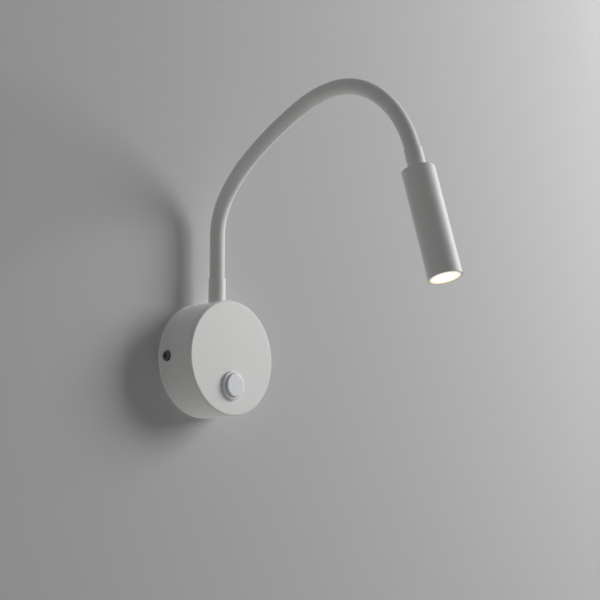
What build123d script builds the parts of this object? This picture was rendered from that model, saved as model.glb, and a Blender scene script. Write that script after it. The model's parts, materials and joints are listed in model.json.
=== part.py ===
from build123d import *
import math
import os

# Gooseneck reading light on a round wall base, in millimetres and degrees.
# The wall is the plane y = 0, the light stands out towards -y, and +z is up.
# The origin is on the base's axis, in the plane of the wall.

# Base housing
BASE_DIAMETER = 80.0
BASE_DEPTH = 30.5
BASE_WALL = 2.0
BASE_FACE = 2.0
BASE_EDGE_RADIUS = 1.5

# Wall plate, a strip with an ear bent forward at each end
PLATE_THICKNESS = 1.5
PLATE_HEIGHT = 24.0
PLATE_CLEARANCE = 0.3
EAR_WIDTH = 14.0
EAR_REACH = 13.0
EAR_ROUND = 3.5
CABLE_HOLE = 14.0
SLOT_WIDTH = 4.5
SLOT_LENGTH = 9.0
SLOT_SPACING = 48.0

# Side screws, through the housing into the ears
SCREW_DIAMETER = 4.0
SCREW_HEAD_DIAMETER = 7.3
SCREW_HEAD_HEIGHT = 1.5
SCREW_HEAD_ROUND = 0.9
SCREW_OUT = 7.5
SCREW_SPARE = 2.0
SCREW_CLEARANCE = 0.2
RECESS_SPAN = 4.2
RECESS_WIDTH = 1.0
RECESS_DEPTH = 1.0

# Push-button switch in the front face
SWITCH_FROM_RIM = 21.0
BEZEL_LIP = 1.0
BEZEL_HEIGHT = 2.0
BEZEL_ROUND = 0.6
BARREL_WALL = 0.85
BARREL_LENGTH = 12.0
SWITCH_BODY_WALL = 2.85
SWITCH_BODY_LENGTH = 6.0
SWITCH_WASHER_WIDTH = 2.5
SWITCH_WASHER_THICKNESS = 0.8
SWITCH_NUT_WIDTH = 2.0
SWITCH_NUT_HEIGHT = 3.0
BLADE_LENGTH = 6.0
BLADE_WIDTH = 4.0
BLADE_THICKNESS = 0.8
BLADE_SPACING = 7.0
CAP_DIAMETER = 16.0
CAP_PROUD = 1.6
CAP_SKIRT = 1.0
CAP_ROUND = 0.8
STEM_DIAMETER = 10.0
STEM_LENGTH = 9.0
SLIDE_CLEARANCE = 0.15
BUTTON_TRAVEL = 2.0
TRAVEL_MARGIN = 0.5
SPRING_DIAMETER = 6.0
SPRING_WIRE = 0.6
SPRING_TURNS = 5
SPRING_POCKET = 6.0
SPRING_CLEARANCE = 0.4

# Terminal block on the wall plate
BLOCK_GAP = 1.0
BLOCK_WIDTH = 10.0
BLOCK_HEIGHT = 18.0
BLOCK_DEPTH = 10.0
BLOCK_ROUND = 0.8
BLOCK_WAIST = 4.0
BLOCK_WAIST_DEPTH = 1.8
BLOCK_GROOVE = 1.25
POLE_SPACING = 5.0
CLAMP_DIAMETER = 3.8
CLAMP_BORE = 2.4
CLAMP_CLEARANCE = 0.1
TERMINAL_SCREW_DIAMETER = 2.6
TERMINAL_SCREW_LENGTH = 2.4
TERMINAL_SCREW_SPACING = 9.0
TERMINAL_SLOT_WIDTH = 0.5
TERMINAL_SLOT_DEPTH = 0.8

# Driver, stuck to the inside of the front face
DRIVER_WIDTH = 40.0
DRIVER_HEIGHT = 14.0
DRIVER_BEHIND = 11.2
DRIVER_LID = 1.5
DRIVER_DROP = 4.0
DRIVER_ROUND = 1.5
DRIVER_EDGE = 0.6
LID_INSET = 0.5
ADHESIVE_THICKNESS = 0.8
ADHESIVE_INSET = 2.0

# Wires in the base
WIRE_DIAMETER = 1.8
WIRE_BEND = 3.5
WIRE_TUCK = 4.0
WIRE_RISE = 4.0
WIRE_WALL_GAP = 3.5
LIVE_SIDE = 15.0

# Hose of the gooseneck: sleeve, wound core and lead, in equal links from the base to the head
HOSE_DIAMETER = 10.6
SLEEVE_WALL = 1.1
CORE_CLEARANCE = 0.1
LEAD_DIAMETER = 3.6
LEAD_CLEARANCE = 0.3
LINK_LENGTH = 29.8
LINK_TURNS = (0, 35, 17, 8, 6, 22, 30, 24, 22)
NOSE_MARGIN = 0.7
JOINT_GAP = 0.25

# Ferrules that hold the hose, with the studs, washers and nuts that clamp them
NECK_BEHIND_FACE = 15.5
FERRULE_WALL = 0.6
FERRULE_EDGE = 0.4
LOWER_FERRULE_LENGTH = 17.5
UPPER_FERRULE_LENGTH = 14.6
SOCKET_DEPTH = 8.0
SOCKET_CLEARANCE = 0.1
SEAT_MARGIN = 0.2
SEAT_SINK = 0.2
NECK_PAD_THICKNESS = 3.5
NECK_PAD_BORDER = 1.0
STUD_DIAMETER = 10.0
STUD_CLEARANCE = 0.2
STUD_SPARE = 1.0
NUT_ACROSS = 14.0
NUT_HEIGHT = 3.5
NUT_CHAMFER = 0.5
WASHER_DIAMETER = 16.0
WASHER_THICKNESS = 1.0
THREAD_CLEARANCE = 0.1

# Head
HEAD_DIAMETER = 22.0
HEAD_LENGTH = 74.0
HEAD_WALL = 1.0
HEAD_TOP = 2.5
HEAD_EDGE_RADIUS = 0.6
INSERT_CLEARANCE = 0.1
FRONT_RING_HEIGHT = 2.0
FRONT_RING_WALL = 0.6
LENS_FLANGE = 1.2
LENS_RECESS = 0.3
LENS_LENGTH = 9.8
LENS_REAR_DIAMETER = 8.0
LENS_SWELL = 0.6
LENS_CLEARANCE = 0.2
LED_POCKET_DIAMETER = 6.0
LED_POCKET_DEPTH = 2.5
CHIP_DIAMETER = 5.0
CHIP_HEIGHT = 0.8
BOARD_THICKNESS = 1.6
BOARD_SCREW_GAP = 0.6
BOARD_SCREW_DIAMETER = 2.0
BOARD_SCREW_HEAD = 3.6
BOARD_SCREW_HEAD_HEIGHT = 1.0
BOARD_SCREW_LENGTH = 6.0
HOLDER_WALL = 0.7
HEAT_SINK_LENGTH = 20.0
FIN_COUNT = 5
FIN_GROOVE_WIDTH = 1.2
FIN_FLOOR_WALL = 0.5
HEAD_WIRE_DIAMETER = 1.2
HEAD_WIRE_SPACING = 1.5
HEAD_WIRE_CLEARANCE = 0.3
HEAD_WIRE_RUN = 4.0
HEAD_WIRE_SPREAD = 8.0
HEAD_WIRE_BEND = 4.0
LEAD_TAIL = 2.0

# Extra length of a cut past the face that it goes through
OVERCUT = 1.0

# Sizes that follow from the ones above
BASE_RADIUS = BASE_DIAMETER / 2
BASE_BORE = BASE_DIAMETER - 2 * BASE_WALL
INNER_FACE = BASE_DEPTH - BASE_FACE
PLATE_RADIUS = BASE_BORE / 2 - PLATE_CLEARANCE
EAR_FACE = math.sqrt(PLATE_RADIUS**2 - (EAR_WIDTH / 2) ** 2)
SCREW_SEAT_RADIUS = SCREW_HEAD_DIAMETER / 2 + SEAT_MARGIN
SCREW_SEAT = math.sqrt(BASE_RADIUS**2 - SCREW_SEAT_RADIUS**2) - SEAT_SINK
SCREW_LENGTH = SCREW_SEAT - EAR_FACE + PLATE_THICKNESS + SCREW_SPARE
SWITCH_DROP = BASE_RADIUS - SWITCH_FROM_RIM
BARREL_DIAMETER = CAP_DIAMETER + 2 * (SLIDE_CLEARANCE + BARREL_WALL)
BARREL_HOLE = BARREL_DIAMETER + 2 * THREAD_CLEARANCE
BEZEL_DIAMETER = BARREL_DIAMETER + 2 * BEZEL_LIP
SWITCH_BODY_DIAMETER = STEM_DIAMETER + 2 * (SLIDE_CLEARANCE + SWITCH_BODY_WALL)
SWITCH_WASHER_DIAMETER = BARREL_DIAMETER + 2 * SWITCH_WASHER_WIDTH
SWITCH_NUT_ACROSS = BARREL_DIAMETER + 2 * SWITCH_NUT_WIDTH
CAP_REAR = BEZEL_HEIGHT - CAP_SKIRT
CAP_POCKET = CAP_SKIRT + BUTTON_TRAVEL + TRAVEL_MARGIN
STEM_REAR = CAP_REAR - STEM_LENGTH
STEM_FLOOR = STEM_REAR - BUTTON_TRAVEL - TRAVEL_MARGIN
SPRING_LENGTH = STEM_REAR + SPRING_POCKET - STEM_FLOOR
BLADE_START = BARREL_LENGTH + SWITCH_BODY_LENGTH
BLOCK_SIDE = CABLE_HOLE / 2 + BLOCK_GAP + BLOCK_WIDTH / 2
SWITCHED_REACH = BASE_BORE / 2 - WIRE_WALL_GAP - WIRE_DIAMETER / 2
SWITCHED_SIDE = math.sqrt(SWITCHED_REACH**2 - SWITCH_DROP**2)
CORE_DIAMETER = HOSE_DIAMETER - 2 * (SLEEVE_WALL + CORE_CLEARANCE)
LEAD_BORE = LEAD_DIAMETER + 2 * LEAD_CLEARANCE
NOSE_RADIUS = HOSE_DIAMETER / 2 + NOSE_MARGIN
LINK_COUNT = len(LINK_TURNS)
SOCKET_DIAMETER = HOSE_DIAMETER + 2 * SOCKET_CLEARANCE
FERRULE_DIAMETER = SOCKET_DIAMETER + 2 * FERRULE_WALL
NECK_OUT = BASE_DEPTH - NECK_BEHIND_FACE
NECK_SEAT_DIAMETER = FERRULE_DIAMETER + 2 * SEAT_MARGIN
NECK_SEAT = math.sqrt(BASE_RADIUS**2 - (NECK_SEAT_DIAMETER / 2) ** 2) - SEAT_SINK
CLAMPED_STACK = WASHER_THICKNESS + NUT_HEIGHT + STUD_SPARE
LOWER_STUD = NECK_PAD_THICKNESS + CLAMPED_STACK
UPPER_STUD = HEAD_TOP + CLAMPED_STACK
HOSE_START = NECK_SEAT + LOWER_FERRULE_LENGTH
DRIVER_TOP = NECK_SEAT - LOWER_STUD - DRIVER_DROP
DRIVER_REAR = DRIVER_BEHIND + DRIVER_LID
DRIVER_DEPTH = INNER_FACE - ADHESIVE_THICKNESS - DRIVER_REAR
HEAD_BORE = HEAD_DIAMETER - 2 * HEAD_WALL
INSERT_DIAMETER = HEAD_BORE - 2 * INSERT_CLEARANCE
RING_REAR = HEAD_LENGTH - FRONT_RING_HEIGHT
LENS_SEAT = RING_REAR - LENS_FLANGE
LENS_REAR = LENS_SEAT - LENS_LENGTH
LENS_FACE_DIAMETER = INSERT_DIAMETER - 2 * (FRONT_RING_WALL + LENS_CLEARANCE)
LENS_FRONT_DIAMETER = INSERT_DIAMETER - 2 * (HOLDER_WALL + LENS_SWELL + LENS_CLEARANCE)
BOARD_FRONT = LENS_REAR - BOARD_SCREW_HEAD_HEIGHT - LENS_CLEARANCE
BOARD_REAR = BOARD_FRONT - BOARD_THICKNESS
BOARD_HOLE_CIRCLE = INSERT_DIAMETER - 2 * (HOLDER_WALL + BOARD_SCREW_GAP) - BOARD_SCREW_HEAD
HEAD_LEAD_END = UPPER_STUD + LEAD_TAIL
WIRE_HOLE = HEAD_WIRE_DIAMETER + 2 * HEAD_WIRE_CLEARANCE
BOARD_SCREW_HOLE = BOARD_SCREW_DIAMETER + 2 * THREAD_CLEARANCE
FIN_FLOOR_DIAMETER = BOARD_HOLE_CIRCLE + max(WIRE_HOLE, BOARD_SCREW_HOLE) + 2 * FIN_FLOOR_WALL

STANDING = (Align.CENTER, Align.CENTER, Align.MIN)
WALL = Plane(origin=(0, 0, 0), x_dir=(1, 0, 0), z_dir=(0, -1, 0))
SWITCH = WALL * Pos(0, -SWITCH_DROP, BASE_DEPTH)
BLOCK = WALL * Pos(BLOCK_SIDE, 0, PLATE_THICKNESS)
SIDES = (-1, 1)


# Simple shapes, each standing on a height of its own frame
def disc(diameter, height, z=0.0):
    """Round disc or rod."""
    return Pos(0, 0, z) * Cylinder(diameter / 2, height, align=STANDING)


def ring(diameter, bore, height, z=0.0):
    """Flat ring or tube."""
    return disc(diameter, height, z) - disc(bore, height, z)


def turned(outline):
    """Solid turned about z from a closed outline of radii and heights."""
    return revolve(Plane.XZ * make_face(outline), Axis.Z)


def hex_nut(across, bore, height, z=0.0):
    """Hexagon nut with its corners turned off at both faces."""
    blank = disc(2 * across / math.sqrt(3), height)
    blank = chamfer(blank.edges().filter_by(GeomType.CIRCLE), NUT_CHAMFER)
    prism = extrude(RegularPolygon(across / 2, 6, major_radius=False), height)
    return Pos(0, 0, z) * ((prism & blank) - disc(bore, height))


def wire(points, diameter, bend):
    """Round wire along straight runs that are joined by tangent bends."""
    path = FilletPolyline(*points, radius=bend)
    return sweep(Plane(origin=path @ 0, z_dir=path % 0) * Circle(diameter / 2), path=path)


# Places along the arm
def spot(out, up, heading):
    """Plane square to the arm, with its normal along the arm and x to the right."""
    turn = math.radians(heading)
    return Plane(origin=(0, -out, up), x_dir=(1, 0, 0), z_dir=(0, -math.sin(turn), math.cos(turn)))


def arm_spots():
    """Planes at the ends of the links, each link an arc that turns from its last heading."""
    out, up, heading = NECK_OUT, HOSE_START, 0.0
    spots = [spot(out, up, heading)]
    for turn in LINK_TURNS:
        half = math.radians(turn) / 2
        chord = LINK_LENGTH * (math.sin(half) / half if half else 1.0)
        out += chord * math.sin(math.radians(heading) + half)
        up += chord * math.cos(math.radians(heading) + half)
        heading += turn
        spots.append(spot(out, up, heading))
    return spots


SPOTS = arm_spots()
HOSE_END = SPOTS[-1]
NECK = Plane(origin=SPOTS[0].origin, x_dir=(1, 0, 0), z_dir=(0, 0, -1))
HEAD = HOSE_END * Pos(0, 0, UPPER_FERRULE_LENGTH)


# Base
def screw_frame(side):
    """Frame of a side screw: on the flat under its head, with z out of the housing."""
    return Plane(origin=(side * SCREW_SEAT, -SCREW_OUT, 0), x_dir=(0, 0, 1), z_dir=(side, 0, 0))


def base_housing():
    """Round cup, open at the wall, with a pad inside under the neck and flats under the screws."""
    cup = disc(BASE_DIAMETER, BASE_DEPTH)
    cup = fillet(cup.edges().sort_by(Axis.Z)[-1], BASE_EDGE_RADIUS)
    cup -= disc(BASE_BORE, INNER_FACE)
    pad_side = WASHER_DIAMETER + 2 * NECK_PAD_BORDER
    pad_depth = INNER_FACE - NECK_OUT + pad_side / 2
    pad = Pos(0, NECK_SEAT - NECK_PAD_THICKNESS, INNER_FACE - pad_depth) * Box(
        pad_side, BASE_WALL + NECK_PAD_THICKNESS, pad_depth, align=(Align.CENTER, Align.MIN, Align.MIN)
    )
    cup += pad & disc(BASE_DIAMETER - BASE_WALL, BASE_DEPTH)
    housing = WALL * cup
    housing -= SWITCH * disc(BARREL_HOLE, BASE_FACE + 2 * OVERCUT, -BASE_FACE - OVERCUT)
    seat = Pos(0, -NECK_OUT, NECK_SEAT)
    housing -= seat * disc(NECK_SEAT_DIAMETER, BASE_RADIUS - NECK_SEAT + OVERCUT)
    stud_hole = STUD_DIAMETER + 2 * STUD_CLEARANCE
    housing -= seat * disc(stud_hole, NECK_PAD_THICKNESS + OVERCUT, -NECK_PAD_THICKNESS - OVERCUT)
    for side in SIDES:
        flat = disc(2 * SCREW_SEAT_RADIUS, BASE_RADIUS - SCREW_SEAT + OVERCUT)
        hole = disc(SCREW_DIAMETER + 2 * SCREW_CLEARANCE, BASE_WALL + OVERCUT, -BASE_WALL - OVERCUT)
        housing -= screw_frame(side) * (flat + hole)
    return housing


def wall_plate():
    """Strip with two wall slots, a cable hole and two ears with holes for the side screws."""
    strip = Box(2 * EAR_FACE, PLATE_HEIGHT, PLATE_THICKNESS, align=STANDING)
    strip &= disc(2 * PLATE_RADIUS, PLATE_THICKNESS)
    ear = Box(PLATE_THICKNESS, EAR_WIDTH, EAR_REACH, align=(Align.MAX, Align.CENTER, Align.MIN))
    ear = fillet(ear.edges().filter_by(Axis.X).group_by(Axis.Z)[-1], EAR_ROUND)
    plate = strip + Pos(EAR_FACE, 0, 0) * ear + Rot(0, 0, 180) * Pos(EAR_FACE, 0, 0) * ear
    bends = plate.edges().filter_by(Axis.Y).group_by(Axis.Z)[0]
    plate = fillet(bends, PLATE_THICKNESS)
    for side in SIDES:
        slot = extrude(SlotOverall(SLOT_LENGTH, SLOT_WIDTH), PLATE_THICKNESS)
        plate -= Pos(side * SLOT_SPACING / 2, 0, 0) * slot
    plate -= disc(CABLE_HOLE, PLATE_THICKNESS)
    plate = WALL * plate
    for side in SIDES:
        plate -= screw_frame(side) * disc(SCREW_DIAMETER + 2 * THREAD_CLEARANCE, SCREW_LENGTH, -SCREW_LENGTH)
    return plate


def side_screws():
    """Pan-head screws with a cross recess, one on each flank."""
    head = disc(SCREW_HEAD_DIAMETER, SCREW_HEAD_HEIGHT)
    head = fillet(head.edges().sort_by(Axis.Z)[-1], SCREW_HEAD_ROUND)
    slot = Pos(0, 0, SCREW_HEAD_HEIGHT - RECESS_DEPTH) * Box(
        RECESS_SPAN, RECESS_WIDTH, RECESS_DEPTH, align=STANDING
    )
    screw = head + disc(SCREW_DIAMETER, SCREW_LENGTH, -SCREW_LENGTH) - slot - Rot(0, 0, 90) * slot
    return Compound([screw_frame(side) * screw for side in SIDES])


# Switch
def switch_housing():
    """Front flange, threaded barrel and body, with a stepped bore for the button."""
    bezel = disc(BEZEL_DIAMETER, BEZEL_HEIGHT)
    bezel = fillet(bezel.edges().sort_by(Axis.Z)[-1], BEZEL_ROUND)
    body = bezel + disc(BARREL_DIAMETER, BARREL_LENGTH, -BARREL_LENGTH)
    body += disc(SWITCH_BODY_DIAMETER, SWITCH_BODY_LENGTH, -BLADE_START)
    body -= disc(CAP_DIAMETER + 2 * SLIDE_CLEARANCE, CAP_POCKET, BEZEL_HEIGHT - CAP_POCKET)
    body -= disc(STEM_DIAMETER + 2 * SLIDE_CLEARANCE, -STEM_FLOOR, STEM_FLOOR)
    return SWITCH * body


def button_cap():
    """Round cap with a softened front edge, and a hollow stem that takes the spring."""
    cap = disc(CAP_DIAMETER, CAP_SKIRT + CAP_PROUD, CAP_REAR)
    cap = fillet(cap.edges().sort_by(Axis.Z)[-1], CAP_ROUND)
    cap += disc(STEM_DIAMETER, STEM_LENGTH, STEM_REAR)
    cap -= disc(SPRING_DIAMETER + 2 * SPRING_CLEARANCE, SPRING_POCKET, STEM_REAR)
    return SWITCH * cap


def switch_spring():
    """Return spring, from the floor of the stem's bore to the end of the hollow in the stem."""
    rise = SPRING_LENGTH - SPRING_WIRE
    coil = Helix(rise / SPRING_TURNS, rise, (SPRING_DIAMETER - SPRING_WIRE) / 2)
    section = Plane(origin=coil @ 0, z_dir=coil % 0) * Circle(SPRING_WIRE / 2)
    turns = sweep(section, path=coil, is_frenet=True)
    ends = disc(2 * SPRING_DIAMETER, SPRING_LENGTH, -SPRING_WIRE / 2)
    return SWITCH * Pos(0, 0, STEM_FLOOR + SPRING_WIRE / 2) * (turns & ends)


def switch_terminals():
    """Two flat blades at the back of the switch."""
    blade = Box(BLADE_THICKNESS, BLADE_WIDTH, BLADE_LENGTH, align=(Align.CENTER, Align.CENTER, Align.MAX))
    places = [Pos(side * BLADE_SPACING / 2, 0, -BLADE_START) for side in SIDES]
    return Compound([SWITCH * place * blade for place in places])


def switch_washer():
    """Washer between the front face and the nut of the switch."""
    washer = ring(SWITCH_WASHER_DIAMETER, BARREL_HOLE, SWITCH_WASHER_THICKNESS)
    return SWITCH * Pos(0, 0, -BASE_FACE - SWITCH_WASHER_THICKNESS) * washer


def switch_nut():
    """Thin hexagon nut on the barrel of the switch."""
    nut = hex_nut(SWITCH_NUT_ACROSS, BARREL_HOLE, SWITCH_NUT_HEIGHT)
    return SWITCH * Pos(0, 0, -BASE_FACE - SWITCH_WASHER_THICKNESS - SWITCH_NUT_HEIGHT) * nut


# Terminal block
POLES = [Pos(side * POLE_SPACING / 2, 0, BLOCK_DEPTH / 2) for side in SIDES]
SCREW_PLACES = [pole * Pos(0, end * TERMINAL_SCREW_SPACING / 2, 0) for pole in POLES for end in SIDES]


def terminal_block():
    """Two-pole block with a waist, a through hole for each clamp and wells for its screws."""
    block = Box(BLOCK_WIDTH, BLOCK_HEIGHT, BLOCK_DEPTH, align=STANDING)
    block = fillet(block.edges().group_by(Axis.Z)[-1] + block.edges().filter_by(Axis.Z), BLOCK_ROUND)
    block -= Pos(0, 0, BLOCK_DEPTH) * Box(BLOCK_WIDTH, BLOCK_WAIST, 2 * BLOCK_WAIST_DEPTH)
    hole = Rot(90, 0, 0) * Cylinder(CLAMP_DIAMETER / 2 + CLAMP_CLEARANCE, BLOCK_HEIGHT)
    well = disc(TERMINAL_SCREW_DIAMETER + 2 * CLAMP_CLEARANCE, BLOCK_DEPTH)
    block -= Pos(0, 0, BLOCK_DEPTH) * Box(BLOCK_GROOVE, BLOCK_HEIGHT, 2 * BLOCK_GROOVE)
    for pole in POLES:
        block -= pole * hole
    for place in SCREW_PLACES:
        block -= place * well
    return BLOCK * block


def terminal_clamps():
    """Brass tubes in the block that take the ends of the wires."""
    tube = Cylinder(CLAMP_DIAMETER / 2, BLOCK_HEIGHT) - Cylinder(CLAMP_BORE / 2, BLOCK_HEIGHT)
    return Compound([BLOCK * pole * Rot(90, 0, 0) * tube for pole in POLES])


def terminal_screws():
    """Slotted clamping screws on the brass tubes."""
    screw = disc(TERMINAL_SCREW_DIAMETER, TERMINAL_SCREW_LENGTH, CLAMP_DIAMETER / 2)
    slot_floor = CLAMP_DIAMETER / 2 + TERMINAL_SCREW_LENGTH - TERMINAL_SLOT_DEPTH
    screw -= Pos(0, 0, slot_floor) * Box(
        TERMINAL_SCREW_DIAMETER, TERMINAL_SLOT_WIDTH, TERMINAL_SLOT_DEPTH, align=STANDING
    )
    return Compound([BLOCK * place * screw for place in SCREW_PLACES])


# Driver
DRIVER = WALL * Pos(0, DRIVER_TOP - DRIVER_HEIGHT / 2, 0)


def driver_slab(inset, depth, z):
    """Slab with rounded corners in the driver's outline, made smaller all round by an inset."""
    outline = RectangleRounded(DRIVER_WIDTH - 2 * inset, DRIVER_HEIGHT - 2 * inset, DRIVER_ROUND)
    return Pos(0, 0, z) * extrude(outline, depth)


def driver_case():
    """Potted driver, rounded off at the end that is stuck down."""
    case = driver_slab(0, DRIVER_DEPTH, DRIVER_REAR)
    return DRIVER * fillet(case.edges().group_by(Axis.Z)[-1], DRIVER_EDGE)


def driver_lid():
    """Lid on the back of the driver, a step smaller than the case, with its outer edge rounded off."""
    lid = driver_slab(LID_INSET, DRIVER_LID, DRIVER_REAR - DRIVER_LID)
    return DRIVER * fillet(lid.edges().group_by(Axis.Z)[0], DRIVER_EDGE)


def driver_pad():
    """Adhesive pad between the driver and the front face."""
    return DRIVER * driver_slab(ADHESIVE_INSET, ADHESIVE_THICKNESS, INNER_FACE - ADHESIVE_THICKNESS)


# Wires in the base
CLAMP_OUT = PLATE_THICKNESS + BLOCK_DEPTH / 2
BLADE_OUT = BASE_DEPTH - BLADE_START - BLADE_LENGTH / 2
BLADE_FACE = (BLADE_SPACING + BLADE_THICKNESS) / 2
WIRE_START = BLOCK_HEIGHT / 2 - WIRE_TUCK
DRIVER_MIDDLE = DRIVER_TOP - DRIVER_HEIGHT / 2
DRIVER_DEEP = DRIVER_REAR + DRIVER_DEPTH / 2


def live_wire():
    """From the block's inner pole, over the cable hole and down to the switch."""
    pole = BLOCK_SIDE - POLE_SPACING / 2
    level = BLOCK_HEIGHT / 2 + WIRE_RISE
    return WALL * wire(
        [
            (pole, WIRE_START, CLAMP_OUT),
            (pole, level, CLAMP_OUT),
            (-LIVE_SIDE, level, CLAMP_OUT),
            (-LIVE_SIDE, -SWITCH_DROP, BLADE_OUT),
            (-BLADE_FACE, -SWITCH_DROP, BLADE_OUT),
        ],
        WIRE_DIAMETER,
        WIRE_BEND,
    )


def switched_wire():
    """From the switch, round the right-hand side and into the end of the driver."""
    return WALL * wire(
        [
            (BLADE_FACE, -SWITCH_DROP, BLADE_OUT),
            (SWITCHED_SIDE, -SWITCH_DROP, BLADE_OUT),
            (SWITCHED_SIDE, -SWITCH_DROP, DRIVER_DEEP),
            (SWITCHED_SIDE, DRIVER_MIDDLE, DRIVER_DEEP),
            (DRIVER_WIDTH / 2, DRIVER_MIDDLE, DRIVER_DEEP),
        ],
        WIRE_DIAMETER,
        WIRE_BEND,
    )


def neutral_wire():
    """From the block's outer pole up and forward into the driver's lid."""
    pole = BLOCK_SIDE + POLE_SPACING / 2
    return WALL * wire(
        [
            (pole, WIRE_START, CLAMP_OUT),
            (pole, DRIVER_MIDDLE, CLAMP_OUT),
            (pole, DRIVER_MIDDLE, DRIVER_REAR - DRIVER_LID),
        ],
        WIRE_DIAMETER,
        WIRE_BEND,
    )


# Ferrules and what clamps them
def ferrule(length, stud_length):
    """Cup for the hose's end, with a hollow stud beyond it; z runs from the mouth to the stud."""
    cup = disc(FERRULE_DIAMETER, length)
    cup = chamfer(cup.edges().sort_by(Axis.Z)[0], FERRULE_EDGE)
    cup += disc(STUD_DIAMETER, stud_length, length)
    return cup - disc(SOCKET_DIAMETER, SOCKET_DEPTH) - disc(LEAD_BORE, length + stud_length)


def clamp_washer():
    """Washer on a ferrule's stud."""
    return ring(WASHER_DIAMETER, STUD_DIAMETER + 2 * THREAD_CLEARANCE, WASHER_THICKNESS)


def clamp_nut():
    """Nut on a ferrule's stud, behind its washer."""
    return hex_nut(NUT_ACROSS, STUD_DIAMETER + 2 * THREAD_CLEARANCE, NUT_HEIGHT, WASHER_THICKNESS)


NECK_CLAMP = NECK * Pos(0, 0, LOWER_FERRULE_LENGTH + NECK_PAD_THICKNESS)
HEAD_CLAMP = HEAD * Pos(0, 0, HEAD_TOP)


# Gooseneck
def along_link(index, profile, lead_in, lead_out):
    """Profile carried along a link's arc, with straight runs before and after it."""
    start, end, turn = SPOTS[index], SPOTS[index + 1], LINK_TURNS[index]
    if turn:
        centre = start.origin - start.y_dir * (LINK_LENGTH / math.radians(turn))
        run = revolve(start * profile, Axis(centre, start.x_dir), turn)
    else:
        run = extrude(start * profile, LINK_LENGTH)
    if lead_in:
        run += extrude(start * profile, -lead_in)
    return run + extrude(end * profile, lead_out)


def neck_piece(index, profile, tail, tip):
    """One layer of a link: it ends in a round nose, inside the round hollow of the next link.

    The first link has a tail into the base, and the last a tip into the head.
    """
    first, last = index == 0, index == LINK_COUNT - 1
    piece = along_link(index, profile, tail if first else 0, tip if last else NOSE_RADIUS)
    if not first:
        piece -= SPOTS[index] * Sphere(NOSE_RADIUS + JOINT_GAP)
    if not last:
        beyond = disc(4 * NOSE_RADIUS, 2 * NOSE_RADIUS) - Sphere(NOSE_RADIUS)
        piece -= SPOTS[index + 1] * beyond
    return piece


def neck_links():
    """Sleeve, core and lead of every link, by node name."""
    sleeve = Circle(HOSE_DIAMETER / 2) - Circle(HOSE_DIAMETER / 2 - SLEEVE_WALL)
    core = Circle(CORE_DIAMETER / 2) - Circle(LEAD_BORE / 2)
    lead = Circle(LEAD_DIAMETER / 2)
    pieces = {}
    for index in range(LINK_COUNT):
        number = index + 1
        pieces[f"neck_sleeve_{number}"] = neck_piece(index, sleeve, SOCKET_DEPTH, SOCKET_DEPTH)
        pieces[f"neck_core_{number}"] = neck_piece(index, core, SOCKET_DEPTH, SOCKET_DEPTH)
        tail = HOSE_START - DRIVER_TOP
        pieces[f"neck_lead_{number}"] = neck_piece(index, lead, tail, UPPER_FERRULE_LENGTH + HEAD_LEAD_END)
    return pieces


# Head, in a frame on its closed end with z towards the lens
def head_housing():
    """Plain tube with a closed end and a hole for the stud."""
    tube = disc(HEAD_DIAMETER, HEAD_LENGTH)
    tube = fillet(tube.edges().sort_by(Axis.Z)[0], HEAD_EDGE_RADIUS)
    tube -= disc(HEAD_BORE, HEAD_LENGTH - HEAD_TOP, HEAD_TOP)
    return HEAD * (tube - disc(STUD_DIAMETER + 2 * STUD_CLEARANCE, HEAD_TOP))


def on_board_circle(angle):
    """Place on the circle of the board's holes."""
    return Rot(0, 0, angle) * Pos(BOARD_HOLE_CIRCLE / 2, 0, 0)


def heat_sink():
    """Aluminium slug with grooves round it and holes for the wires and the board's screws."""
    slug = disc(INSERT_DIAMETER, HEAT_SINK_LENGTH)
    pitch = HEAT_SINK_LENGTH / (FIN_COUNT + 1)
    groove = ring(INSERT_DIAMETER, FIN_FLOOR_DIAMETER, FIN_GROOVE_WIDTH)
    for fin in range(FIN_COUNT):
        slug -= Pos(0, 0, pitch * (fin + 1) - FIN_GROOVE_WIDTH / 2) * groove
    for angle in (0, 180):
        slug -= on_board_circle(angle) * disc(WIRE_HOLE, HEAT_SINK_LENGTH)
    for angle in (90, 270):
        bore = disc(BOARD_SCREW_HOLE, BOARD_SCREW_LENGTH)
        slug -= on_board_circle(angle) * Pos(0, 0, HEAT_SINK_LENGTH - BOARD_SCREW_LENGTH) * bore
    return HEAD * Pos(0, 0, BOARD_REAR - HEAT_SINK_LENGTH) * slug


def led_board():
    """Round metal-core board on the heat sink."""
    board = disc(INSERT_DIAMETER, BOARD_THICKNESS)
    for angle in (0, 180):
        board -= on_board_circle(angle) * disc(WIRE_HOLE, BOARD_THICKNESS)
    for angle in (90, 270):
        board -= on_board_circle(angle) * disc(BOARD_SCREW_HOLE, BOARD_THICKNESS)
    return HEAD * Pos(0, 0, BOARD_REAR) * board


def board_screws():
    """Screws that hold the board to the heat sink."""
    shank = disc(BOARD_SCREW_DIAMETER, BOARD_SCREW_LENGTH, -BOARD_SCREW_LENGTH)
    screw = shank + disc(BOARD_SCREW_HEAD, BOARD_SCREW_HEAD_HEIGHT)
    front = HEAD * Pos(0, 0, BOARD_FRONT)
    return Compound([front * on_board_circle(angle) * screw for angle in (90, 270)])


def led_chip():
    """Light-emitting disc in the middle of the board."""
    return HEAD * disc(CHIP_DIAMETER, CHIP_HEIGHT, BOARD_FRONT)


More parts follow.
